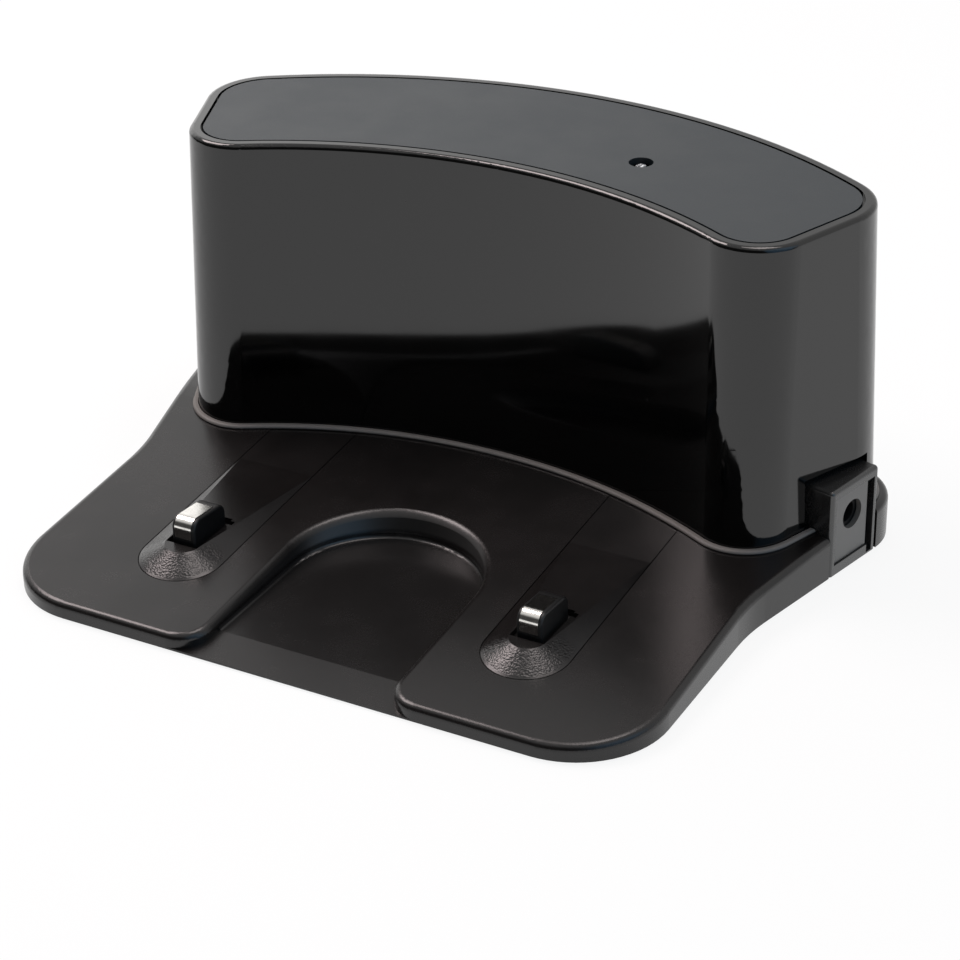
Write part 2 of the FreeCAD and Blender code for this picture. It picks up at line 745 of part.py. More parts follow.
bottom_inset = v.base_wall + v.bottom_gap
bottom = prism(base_wire(bottom_inset, v.bottom_lift), v.bottom_thickness)
bottom = bottom.cut(prism(recess_wire(bottom_inset, -sky), 2 * sky))
holes = []
for x, y in BASE_SCREWS:
    holes.append(pillar(x, y, 0, bottom_top, v.screw_radius + v.fit_gap))
    holes.append(Part.makeCone(
        v.screw_head + v.fit_gap, v.screw_radius + v.fit_gap, v.bottom_thickness, Vector(x, y, v.bottom_lift),
    ))
for x, y in FEET:
    holes.append(pillar(x, y, 0, v.bottom_lift + v.foot_sink, v.foot_radius + v.fit_gap))
holes.append(side_box(
    -v.jack_skirt - v.jack_clearance, v.mouth_radius,
    -v.jack_clearance, v.jack_width + v.jack_clearance,
    -sky, sky,
))
solid_piece("base_plate", bottom.cut(holes))

feet = [pillar(x, y, 0, v.bottom_lift + v.foot_sink, v.foot_radius) for x, y in FEET]
solid_piece("rubber_feet", Part.makeCompound(feet))

screws = []
for x, y in BASE_SCREWS:
    shank = pillar(x, y, v.bottom_lift, bottom_top + v.base_screw_grip, v.screw_radius)
    head = Part.makeCone(v.screw_head, v.screw_radius, v.bottom_thickness, Vector(x, y, v.bottom_lift))
    screws.append(shank.fuse(head).removeSplitter())
solid_piece("base_screws", Part.makeCompound(screws))

# Tower

ledge_top = v.tower_height - v.top_drop - v.top_thickness
ledge_under = ledge_top - v.ledge_thickness
tower = tower_body(0, v.tower_height)
tower = tower.makeFillet(v.tower_edge_radius, edges_on(tower, on_level(v.tower_height)))
hollow = tower_body(v.tower_wall, ledge_under)
tower = tower.cut(hollow)
throat = tower_wire(TOWER_HEAD, v.rim_width + v.ledge_width, ledge_under)
tower = tower.cut(prism(throat, sky))
tower = tower.cut(prism(tower_wire(TOWER_HEAD, v.rim_width, ledge_top), sky))
tower_bosses = []
for x, y in TOWER_SCREWS:
    tall = slope_at(y) + v.tower_boss_height
    boss = pillar(x, y, foot_level, tall, v.boss_radius + v.tower_wall / 2)
    tower_bosses.append(boss.common(tower_body(v.tower_wall / 2, v.tower_height)))
tower = tower.fuse(tower_bosses)
tower = tower.cut(below_slope(0))
for x, y in TOWER_SCREWS:
    tower = tower.cut(pillar(x, y, 0, slope_at(y) + v.screw_grip + v.screw_grip / 2, v.screw_radius + v.fit_gap))
tower = tower.cut(side_box(
    -v.jack_depth - v.jack_clearance, sky,
    -v.jack_side_gap, v.jack_width + v.jack_clearance,
    -sky, v.jack_top + v.jack_top_gap,
))
solid_piece("tower_cover", tower.removeSplitter())

screws = []
for x, y in TOWER_SCREWS:
    shank = pillar(x, y, seat_level(y), slope_at(y) + v.screw_grip, v.screw_radius)
    head = pillar(x, y, seat_level(y) - v.screw_head_height, seat_level(y), v.screw_head)
    screws.append(shank.fuse(head))
solid_piece("tower_screws", Part.makeCompound(screws))

# Top plate with the bosses that carry the lamp board

lamp_y = v.tower_front + v.lamp_back
lamp_board_top = v.tower_height - v.top_drop - v.lamp_depth - v.lamp_length
lamp_screw_reach = v.lamp_board_length / 2 - v.screw_head
LAMP_SCREWS = [(v.lamp_side + side * lamp_screw_reach, lamp_y) for side in (-1, 1)]
lid_wire = tower_wire(TOWER_HEAD, v.rim_width + v.rim_gap, ledge_top)
lid = prism(lid_wire, v.top_thickness)
lid = lid.fuse([pillar(x, y, lamp_board_top, ledge_top + v.top_thickness / 2, v.screw_head) for x, y in LAMP_SCREWS])
lid = lid.cut(pillar(v.lamp_side, lamp_y, 0, sky, v.lamp_hole / 2))
lid = lid.cut([pillar(x, y, 0, ledge_top, v.screw_radius + v.fit_gap) for x, y in LAMP_SCREWS])
solid_piece("top_plate", lid.removeSplitter())

lamp_board = box(
    "lamp_board_blank", "lamp_board_length", "lamp_board_width", "board_thickness",
    "lamp_side - lamp_board_length / 2", "tower_front + lamp_back - lamp_board_width / 2",
    f"{LAMP_BOARD_TOP} - board_thickness",
)
lamp_holes = [
    upright(
        f"lamp_board_hole_{name}", "screw_radius + fit_gap", "3 * board_thickness",
        f"lamp_side + {side} * (lamp_board_length / 2 - screw_head)", "tower_front + lamp_back",
        f"{LAMP_BOARD_TOP} - 2 * board_thickness",
    )
    for name, side in SIDES
]
keep(cut("led_board_cut", lamp_board, fuse("lamp_board_holes", lamp_holes)), "led_board")

lamp = doc.addObject("PartDesign::Body", "lamp")
place(lamp, "lamp_side", "tower_front + lamp_back", LAMP_BOARD_TOP)
half_lamp = polygon(lamp, "lamp_section", "XZ_Plane", [
    ("0", "0"),
    ("lamp_diameter * 0.6", "0"),
    ("lamp_diameter * 0.6", "lamp_length / 5"),
    ("lamp_diameter / 2", "lamp_length / 5"),
    ("lamp_diameter / 2", "lamp_length - lamp_diameter / 5"),
    ("lamp_diameter * 0.42", "lamp_length - lamp_diameter * 0.07"),
    ("lamp_diameter / 4", "lamp_length"),
    ("0", "lamp_length"),
])
turned = lamp.newObject("PartDesign::Revolution", "lamp_turned")
turned.Profile = half_lamp
turned.ReferenceAxis = (half_lamp, ["V_Axis"])
turned.Angle = 360.0
keep(lamp, "led")

screws = []
for x, y in LAMP_SCREWS:
    under = lamp_board_top - v.board_thickness
    shank = pillar(x, y, under, ledge_top - v.fit_gap, v.screw_radius)
    screws.append(shank.fuse(pillar(x, y, under - v.screw_head_height, under, v.screw_head)))
solid_piece("led_screws", Part.makeCompound(screws))

# Contact covers: a tongue flush with the base, with a raised nose around the slot

SQUARE = "sqrt(1 + base_slope * base_slope)"
NOSE_RISE = f"((nose_level - base_front_height) * {SQUARE})"
NOSE_TIP_RISE = f"((nose_level - base_front_height - base_slope * cover_tip) * {SQUARE})"
TONGUE_END = "tower_front"


def tongue_sketch(body, name):
    """Straight sides, square at the back, half round at the tip."""
    sketch = new_sketch(body, name, "XY_Plane")
    half = v.cover_width / 2
    middle = v.cover_tip + half
    far = v.tower_front
    tip = Part.Circle(Vector(0, middle, 0), Vector(0, 0, 1), half)
    sketch.addGeometry(Part.ArcOfCircle(tip, math.pi, 2 * math.pi))
    corners = [Vector(half, middle, 0), Vector(half, far, 0), Vector(-half, far, 0), Vector(-half, middle, 0)]
    for a, b in zip(corners, corners[1:]):
        sketch.addGeometry(Part.LineSegment(a, b))
    sketch.addConstraint(Sketcher.Constraint("Tangent", 0, 2, 1, 1))
    sketch.addConstraint(Sketcher.Constraint("Coincident", 1, 2, 2, 1))
    sketch.addConstraint(Sketcher.Constraint("Coincident", 2, 2, 3, 1))
    sketch.addConstraint(Sketcher.Constraint("Tangent", 3, 2, 0, 1))
    sketch.addConstraint(Sketcher.Constraint("Vertical", 1))
    sketch.addConstraint(Sketcher.Constraint("Horizontal", 2))
    sketch.addConstraint(Sketcher.Constraint("Vertical", 3))
    hold(sketch, "DistanceX", 0, 3, "0")
    hold(sketch, "DistanceY", 0, 3, "cover_tip + cover_width / 2")
    hold(sketch, "DistanceX", 1, 2, "cover_width / 2")
    hold(sketch, "DistanceY", 1, 2, TONGUE_END)
    return sketch


foot_solid = solid_piece("tongue_end", tower_foot(v.foot_clearance + v.bead_width + v.cover_gap), kept=False)
for name, side in SIDES:
    tongue = doc.addObject("PartDesign::Body", f"tongue_{name}")
    tongue.Placement = Placement(Vector(), Rotation(Vector(1, 0, 0), 1.0))
    bind(tongue, "Placement.Rotation.Angle", "atan(base_slope)")
    place(tongue, f"{side} * contact_pitch / 2", "0", "base_front_height")
    outline = tongue_sketch(tongue, f"tongue_outline_{name}")
    nose = pad(tongue, f"nose_{name}", outline, NOSE_TIP_RISE)
    bind(nose, "TaperAngle", "-nose_angle")
    outline_low = tongue_sketch(tongue, f"tongue_lip_{name}")
    pad(tongue, f"lip_{name}", outline_low, "cover_lip", back=True)
    above = polygon(tongue, f"above_{name}", "YZ_Plane", [
        ("0", NOSE_RISE),
        (f"{NOSE_RISE} / base_slope", "0"),
        (f"{TONGUE_END} * 1.1", "0"),
        (f"{TONGUE_END} * 1.1", f"2 * {NOSE_RISE}"),
        ("0", f"2 * {NOSE_RISE}"),
    ])
    level = pocket(tongue, f"level_{name}", above, "2 * cover_width")
    level.SideType = "Symmetric"
    # The slot and the room for the flange under it are cut upright
    slot = box(
        f"slot_{name}", "slot_width", "slot_length", "3 * nose_level",
        f"{side} * contact_pitch / 2 - slot_width / 2", "contact_y - slot_length / 2", "-nose_level",
    )
    notch = box(
        f"notch_{name}", "notch_width + slot_width / 2", "notch_length", "3 * nose_level",
        f"{side} * contact_pitch / 2", "contact_y + slot_length / 2 - 1.5 * notch_length", "-nose_level",
    )
    room = box(
        f"room_{name}", "contact_width + 2 * flange_margin + 4 * flange_gap",
        "contact_length + 2 * flange_margin + 4 * flange_gap", "2 * nose_level - cover_skin",
        f"{side} * contact_pitch / 2 - contact_width / 2 - flange_margin - 2 * flange_gap",
        "contact_y - contact_length / 2 - flange_margin - 2 * flange_gap", "-nose_level",
    )
    cuts = fuse(f"cuts_{name}", [foot_solid, slot, notch, room])
    keep(cut(f"cover_{name}", tongue, cuts), f"contact_cover_{name}")

# Charging contacts: an arched carrier with a flange, a strip over it and a spring in its bore

bore_top = v.contact_top - v.contact_fall - v.spring_roof


def arched(grow, half_width):
    """The carrier's arched side view, moved outwards by grow."""
    front = -v.contact_length / 2 - grow
    back = v.contact_length / 2 + grow
    fall = v.contact_fall / v.contact_length
    lift = grow * math.sqrt(1 + fall * fall)
    profile = [
        Vector(-half_width, front, flange_bottom),
        Vector(-half_width, back, flange_bottom),
        Vector(-half_width, back, v.contact_top - v.contact_fall + lift - fall * grow),
        Vector(-half_width, front, v.contact_top + lift + fall * grow),
    ]
    shape = Part.Face(Part.makePolygon(profile + profile[:1])).extrude(Vector(2 * half_width, 0, 0))
    ridge = v.contact_top - v.contact_fall - v.strip_thickness
    shape = shape.makeFillet(v.contact_front_radius + grow, edges_on(shape, lambda p: p.z > ridge and p.y < front + 1e-4))
    return shape.makeFillet(v.contact_back_radius + grow, edges_on(shape, lambda p: p.z > ridge and p.y > back - 1e-4))


def rounded_carrier():
    half = v.contact_width / 2
    shape = arched(0, half)
    rim = edges_on(shape, lambda p: abs(abs(p.x) - half) < 1e-4 and p.z > flange_bottom + 1e-4)
    rim += [
        edge for edge in edges_on(shape, lambda p: abs(abs(p.x) - half) < 1e-4)
        if edge.BoundBox.ZLength > v.flange_thickness and edge.BoundBox.ZMin < flange_bottom + 1e-4
    ]
    return shape.makeFillet(v.contact_side_radius, rim)


sheath = arched(v.strip_proud, v.strip_width / 2).cut(arched(v.strip_proud - v.strip_thickness, v.strip_width))
strip_zone = Part.makeBox(
    v.contact_width, v.strip_reach + v.strip_proud, sky,
    Vector(-v.contact_width / 2, -v.contact_length / 2 - v.strip_proud, v.nose_level + v.strip_rise),
)
strip = sheath.common(strip_zone)
flange = Part.makeBox(
    v.contact_width + 2 * v.flange_margin, v.contact_length + 2 * v.flange_margin, v.flange_thickness,
    Vector(-v.contact_width / 2 - v.flange_margin, -v.contact_length / 2 - v.flange_margin, flange_bottom),
)
carrier = rounded_carrier().fuse(flange).cut(strip)
carrier = carrier.cut(pillar(0, 0, 0, bore_top, v.spring_bore)).removeSplitter()
spring_foot = bottom_top + terminal_thickness

for name, side in SIDES:
    solid_piece(f"contact_block_{name}", carrier, f"{side} * contact_pitch / 2", "contact_y")
    solid_piece(f"contact_strip_{name}", strip, f"{side} * contact_pitch / 2", "contact_y")

    spring = doc.addObject("PartDesign::Body", f"spring_{name}")
    place(spring, f"{side} * contact_pitch / 2", "contact_y", f"{BOTTOM_TOP} + strip_thickness + spring_wire / 2")
    wire = disc(spring, f"spring_wire_{name}", "XZ_Plane", "spring_radius", "0", "spring_wire / 2")
    coil = spring.newObject("PartDesign::AdditiveHelix", f"coil_{name}")
    coil.Profile = wire
    coil.ReferenceAxis = (wire, ["V_Axis"])
    coil.Mode = "height-turns-growth"
    free = "(contact_top - contact_fall - spring_roof - bottom_lift - bottom_thickness - strip_thickness)"
    bind(coil, "Height", f"{free} - spring_wire - fit_gap")
    bind(coil, "Turns", "spring_turns")
    keep(spring, f"contact_spring_{name}")

    seat = upright(
        f"spring_seat_{name}", "spring_bore", "strip_thickness",
        f"{side} * contact_pitch / 2", "contact_y", BOTTOM_TOP,
    )
    tab = box(
        f"solder_tab_{name}", "strip_width / 2", "contact_length / 2 + strip_width", "strip_thickness",
        f"{side} * contact_pitch / 2 - strip_width / 4", "contact_y", BOTTOM_TOP,
    )
    keep(fuse(f"terminal_{name}", [seat, tab]), f"spring_terminal_{name}")

# Power socket, built in the frame of the flared side


def side_body(name):
    body = doc.addObject("PartDesign::Body", name)
    body.Placement = Placement(Vector(), Rotation(Vector(0, 0, -1), 1.0))
    bind(body, "Placement.Rotation.Angle", f"atan({FLARE})")
    place(body, JACK_X, JACK_Y, "0")
    return body


PLATE_START = "jack_bar"
PLATE_END = "(jack_width - jack_bar - jack_slot)"
PLATE_TOP = "(jack_top - jack_lintel)"
PLUG_Y = "(jack_bar + plug_side)"

housing = side_body("housing")
block = rectangle(housing, "housing_plan", "XY_Plane", "-jack_depth", "0", "0", "jack_width", "base_lift")
blank = pad(housing, "housing_block", block, "jack_top - base_lift")
doc.recompute()
corner_edges = [
    f"Edge{number}"
    for number, edge in enumerate(blank.Shape.Edges, start=1)
    if edge.BoundBox.ZLength > v.jack_top / 2 or edge.BoundBox.ZMin > v.jack_top - 1e-4
]
rounded = housing.newObject("PartDesign::Fillet", "housing_edges")
rounded.Base = (blank, corner_edges)
bind(rounded, "Radius", "jack_edge")
under = rectangle(
    housing, "housing_under", "XY_Plane", "-2 * jack_depth", "-jack_skirt", "-jack_width", "2 * jack_width",
    f"{BOTTOM_TOP}",
)
pocket(housing, "housing_foot", under, BOTTOM_TOP)
frame = rectangle(housing, "housing_frame", "YZ_Plane", PLATE_START, PLATE_END, "jack_sill", PLATE_TOP)
pocket(housing, "plate_seat", frame, "plate_recess + plate_thickness")
gap = rectangle(
    housing, "housing_gap", "YZ_Plane", PLATE_END, "(jack_width - jack_bar)", "2 * base_lift", PLATE_TOP,
)
pocket(housing, "side_slot", gap, "jack_slot_depth")
nest = rectangle(
    housing, "socket_plan", "YZ_Plane",
    f"{PLUG_Y} - socket_width / 2 - jack_clearance", f"{PLUG_Y} + socket_width / 2 + jack_clearance",
    "plug_level - socket_height / 2 - jack_clearance", "plug_level + socket_height / 2 + jack_clearance",
)
pocket(housing, "socket_nest", nest, "2 * jack_depth")
keep(housing, "jack_housing")

plate = side_body("plate")
panel = rectangle(
    plate, "plate_outline", "YZ_Plane", f"{PLATE_START} + fit_gap", PLATE_END,
    "jack_sill + fit_gap", f"{PLATE_TOP} - fit_gap", "-plate_recess",
)
pad(plate, "plate_sheet", panel, "plate_thickness", back=True)
opening = disc(plate, "plug_opening", "YZ_Plane", PLUG_Y, "plug_level", "plug_hole / 2")
pocket(plate, "plug_way", opening, "3 * plate_thickness")
keep(plate, "jack_plate")

socket = side_body("socket")
can = rectangle(
    socket, "socket_outline", "YZ_Plane",
    f"{PLUG_Y} - socket_width / 2", f"{PLUG_Y} + socket_width / 2",
    "plug_level - socket_height / 2", "plug_level + socket_height / 2",
    "-plate_recess - plate_thickness - jack_clearance",
)
pad(socket, "socket_can", can, "socket_length", back=True)
throat_disc = disc(socket, "socket_throat", "YZ_Plane", PLUG_Y, "plug_level", "socket_bore / 2")
pocket(socket, "socket_hole", throat_disc, "plate_recess + plate_thickness + jack_clearance + socket_depth")
keep(socket, "dc_jack")

pin = side_body("pin")
pin_disc = disc(
    pin, "pin_outline", "YZ_Plane", PLUG_Y, "plug_level", "pin_diameter / 2",
    "-plate_recess - plate_thickness - jack_clearance - socket_depth",
)
pad(pin, "pin_rod", pin_disc, "pin_length")
keep(pin, "dc_jack_pin")

# Main board with the infrared lamps


def rod(name, radius, length, x, y, z):
    """A cylinder that lies along +Y."""
    item = doc.addObject("Part::Cylinder", name)
    item.Placement = Placement(Vector(), Rotation(Vector(1, 0, 0), -90))
    bind(item, "Radius", radius)
    bind(item, "Height", length)
    place(item, x, y, z)
    return item


POST_TOP = "(board_level + board_height - post_width / 2)"
board = box(
    "board_blank", "board_width", "board_thickness", "board_height",
    "-board_width / 2", BOARD_Y, "board_level",
)
board_holes = [
    rod(
        f"board_hole_{name}_{row}", "screw_radius + fit_gap", "3 * board_thickness",
        f"{side} * post_side", f"{BOARD_Y} - board_thickness", level,
    )
    for name, side in SIDES
    for row, level in (("low", "board_level + post_width / 2"), ("high", f"{POST_TOP} - post_width / 2"))
]
keep(cut("board_cut", board, fuse("board_holes", board_holes)), "main_board")

screws = []
for x, z in BOARD_SCREWS:
    face = Vector(x, board_y, z)
    back = Vector(0, 1, 0)
    shank = Part.makeCylinder(v.screw_radius, v.board_thickness + v.screw_grip - v.fit_gap, face, back)
    head = Part.makeCylinder(v.screw_head, v.screw_head_height, face - back * v.screw_head_height, back)
    screws.append(shank.fuse(head))
solid_piece("board_screws", Part.makeCompound(screws))

LAMPS = (("left", "-ir_pitch"), ("middle", "0"), ("right", "ir_pitch"))
holder = box(
    "holder_block", "holder_length", "holder_depth", "holder_height",
    "-holder_length / 2", f"{BOARD_Y} - holder_depth", "ir_level - holder_height / 2",
)
holder_holes = [
    rod(
        f"holder_hole_{name}", "ir_diameter / 2 + fit_gap", "3 * holder_depth",
        x, f"{BOARD_Y} - 2 * holder_depth", "ir_level",
    )
    for name, x in LAMPS
]
keep(cut("holder_cut", holder, fuse("holder_holes", holder_holes)), "ir_holder")

emitters = []
for name, x in LAMPS:
    barrel = rod(
        f"emitter_barrel_{name}", "ir_diameter / 2", "ir_length - ir_diameter / 2",
        x, f"{BOARD_Y} - ir_length + ir_diameter / 2", "ir_level",
    )
    dome = doc.addObject("Part::Sphere", f"emitter_dome_{name}")
    bind(dome, "Radius", "ir_diameter / 2")
    place(dome, x, f"{BOARD_Y} - ir_length + ir_diameter / 2", "ir_level")
    emitters.append(fuse(f"emitter_{name}", [barrel, dome]))
group = doc.addObject("Part::Compound", "emitter_group")
group.Links = emitters
keep(group, "ir_emitters")

# Wires inside the dock


def lead(label, points):
    """A wire through points, with straight runs joined by arcs as large as the runs allow."""
    edges = []
    here = points[0]
    for before, at, after in zip(points, points[1:], points[2:]):
        back = (before - at).normalize()
        ahead = (after - at).normalize()
        run = 0.45 * min((before - at).Length, (after - at).Length)
        half = back.getAngle(ahead) / 2
        bisector = (back + ahead).normalize()
        radius = run * math.tan(half)
        middle = at + bisector * (run / math.cos(half) - radius)
        enter = at + back * run
        leave = at + ahead * run
        edges.append(Part.LineSegment(here, enter).toShape())
        edges.append(Part.Arc(enter, middle, leave).toShape())
        here = leave
    edges.append(Part.LineSegment(here, points[-1]).toShape())
    path = Part.Wire(edges)
    ring = Part.Wire(Part.makeCircle(v.lead_radius, points[0], points[1] - points[0]))
    tube = path.makePipeShell([ring], True, False)
    solid_piece(label, tube)


lead_level = bottom_top + terminal_thickness + v.lead_radius + v.fit_gap
board_front = board_y - v.lead_radius - v.fit_gap
for name, side in SIDES:
    contact_x = v.contact_pitch / 2
    through = v.window_half * 0.75
    stop = v.contact_y + v.contact_length / 2 + v.flange_margin + 4 * v.flange_gap
    window_middle = v.tower_front + v.window_front + v.window_length / 2
    route = [
        Vector(contact_x, stop, lead_level),
        Vector(contact_x, stop + v.lead_straight, lead_level),
        Vector(through + v.lead_bow, v.tower_front, lead_level + v.lead_step),
        Vector(through, window_middle + v.lead_step, slope_at(window_middle) + v.lead_rise),
        Vector(through, board_front, v.board_level + v.lead_solder),
    ]
    lead(f"contact_lead_{name}", [Vector(side * point.x, point.y, point.z) for point in route])

jack_end = side_frame().multVec(Vector(-socket_back - v.fit_gap - v.lead_radius / 2, plug_y, v.plug_level))
jack_turn = side_frame().multVec(Vector(-socket_back - v.lead_run, plug_y, 0))
lead("jack_lead", [
    jack_end,
    Vector(jack_turn.x, jack_turn.y, slope_at(jack_turn.y) + v.lead_rise),
    Vector(v.board_width / 2 + v.lead_bow, board_y - v.lead_bow, v.board_level),
    Vector(v.board_width / 2 - v.lead_inset, board_front, v.board_level + v.lead_solder),
])

lamp_board_under = lamp_board_top - v.board_thickness - v.fit_gap
board_top = v.board_level + v.board_height
lead("led_lead", [
    Vector(v.lamp_side, lamp_y - v.lead_aside, lamp_board_under),
    Vector(v.lamp_side, lamp_y - v.lead_aside, lamp_board_under - v.lead_drop),
    Vector(v.holder_length / 2 + v.lead_drop, board_front - v.lead_step, board_top + v.lead_step),
    Vector(v.holder_length / 2 + v.lead_bow, board_front, board_top - v.lead_hang),
])

# Every object has to be sound before anything is written

doc.recompute()
for item in doc.Objects:
    if {"Invalid", "Error"} & set(item.State):
        raise RuntimeError(f"{item.Label} failed: {item.State}")
for item in nodes:
    if item.Shape.isNull() or not item.Shape.isValid():
        raise RuntimeError(f"{item.Label} has no sound shape")
os.makedirs("parts", exist_ok=True)
for item in nodes:
    item.Shape.exportStep(f"parts/{item.Label}.step")
    box_size = item.Shape.BoundBox
    print(f"{item.Label}: {len(item.Shape.Solids)} solids, {item.Shape.Volume:.1f} mm3, z {box_size.ZMin:.2f} to {box_size.ZMax:.2f}")
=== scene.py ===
import math

import bpy
from mathutils import Matrix, Vector


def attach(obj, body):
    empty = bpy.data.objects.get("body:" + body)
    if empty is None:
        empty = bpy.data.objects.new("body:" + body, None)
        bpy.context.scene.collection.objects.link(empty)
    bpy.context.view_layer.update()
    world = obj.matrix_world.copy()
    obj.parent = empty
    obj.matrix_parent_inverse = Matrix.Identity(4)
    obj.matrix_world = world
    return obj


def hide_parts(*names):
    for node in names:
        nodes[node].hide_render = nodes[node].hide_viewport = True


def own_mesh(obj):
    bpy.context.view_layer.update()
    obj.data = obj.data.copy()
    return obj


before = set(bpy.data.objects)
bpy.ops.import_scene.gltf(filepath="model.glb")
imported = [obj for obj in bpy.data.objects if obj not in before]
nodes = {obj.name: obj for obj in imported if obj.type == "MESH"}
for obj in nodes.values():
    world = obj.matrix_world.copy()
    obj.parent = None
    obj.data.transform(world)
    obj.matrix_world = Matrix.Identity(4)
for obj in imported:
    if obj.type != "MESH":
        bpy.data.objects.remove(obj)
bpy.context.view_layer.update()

# Looks of a charging dock for a robot vacuum: satin black base, polished black tower, grained top plate.
# Metres, +Z up, the front faces -Y.

scene = bpy.context.scene
scene.view_settings.view_transform = "Standard"

# Places on the dock that the materials follow
HALF_DEPTH = 0.0923
BASE_FRONT_HEIGHT = 0.005
BASE_SLOPE = 0.075
BASE_LEVEL = 0.01325
NOSE_LEVEL = 0.0111
CONTACT_Y = 0.0415 - HALF_DEPTH
RECESS_FLOOR = 0.0022
RECESS_HALF = 0.0285
RECESS_BACK = 0.077 - HALF_DEPTH

# The tower's hollow front: level, middle of the front and radius, at the foot and at the top
FRONT_FOOT = (0.0107, 0.1132 - HALF_DEPTH, 0.172)
FRONT_TOP = (0.1, 0.12 - HALF_DEPTH, 0.147)

# Shading only: a slight turn of the front's normal, fitted so that the base's mirrored edge runs straight.
# In radians it is WARP_START on the line x = WARP_LINE, and it grows with the square of the distance from
# that line, out to WARP_REACH.
WARP_LINE = -0.016
WARP_REACH = 0.07
WARP_START = -0.0087
WARP_BEND = 6.98

# The base's plastic, with painted light on its recess floor and a painted highlight on the bead round the
# tower
BASE_DARK = (0.005, 0.0042, 0.004)
BASE_LIGHT = (0.0072, 0.006, 0.0058)
FLOOR_PAINTED_LIGHT = (0.0085, 0.0079, 0.0077)
BEAD_PAINTED_HIGHLIGHT = (0.14, 0.128, 0.118)
BASE_SHEEN = (0.23, 0.27)

# Moulded plastic: size of its clouds, size and depth of its etched grain, and its refraction
CLOUD = 0.018
GRAIN = 0.00035
ETCH = 0.000012
PLASTIC_IOR = 1.5

# Studio: where it is white, where it is brightest, and a window, as directions from the dock
WHITE_SIDE = (0.0, 0.9, 1.1)
BRIGHT_SIDE = (-0.78, 0.6, 0.18)
WINDOW = (0.85, -0.32, 0.42)
WINDOW_BLUE = (0.42, 0.7, 1.0, 1.0)
FLOOR_REACH = 6.0
FLOOR_SHARE = 0.88

# Camera: turn, rise and roll in degrees, what it looks at, how far off, and its focal length in pixels
CAMERA_ANGLES = (29.092, 29.346, -1.297)
CAMERA_TARGET = (0.002451, 0.101437 - HALF_DEPTH, 0.010725)
CAMERA_DISTANCE = 0.76677
CAMERA_FOCUS = 2686.39
IMAGE_WIDTH = 960.0
SENSOR_WIDTH = 36.0


# Node helpers

